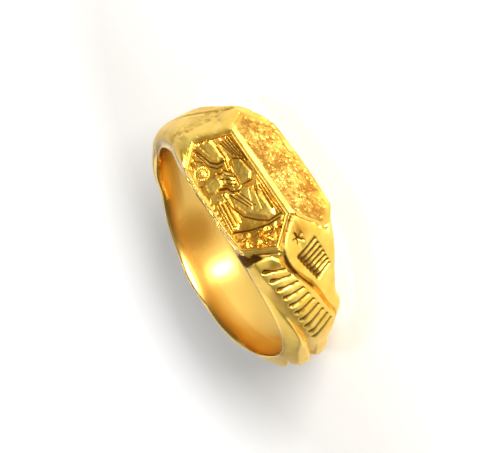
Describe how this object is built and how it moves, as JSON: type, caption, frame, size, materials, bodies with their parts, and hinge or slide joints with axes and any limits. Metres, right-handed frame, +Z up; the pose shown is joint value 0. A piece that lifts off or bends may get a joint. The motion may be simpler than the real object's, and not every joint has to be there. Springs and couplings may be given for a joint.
{
  "type": "finger ring",
  "caption": "Wreathed gold finger ring with a ridged bezel: two long engraved panels slope from the ridge, and strokes mark the shoulders.",
  "frame": {"origin": "centre of the bounding box's underside, on the floor that the ring lies on", "axes": "+Z up from the floor, 5.9 degrees off the axis of the finger hole; -Y from the hole towards the bezel; X along the bezel's ridge"},
  "size_m": [0.0214, 0.023, 0.0085],
  "materials": {
    "gold": "worn polished gold"
  },
  "bodies": {
    "root": {"ring": "gold"}
  },
  "joints": []
}
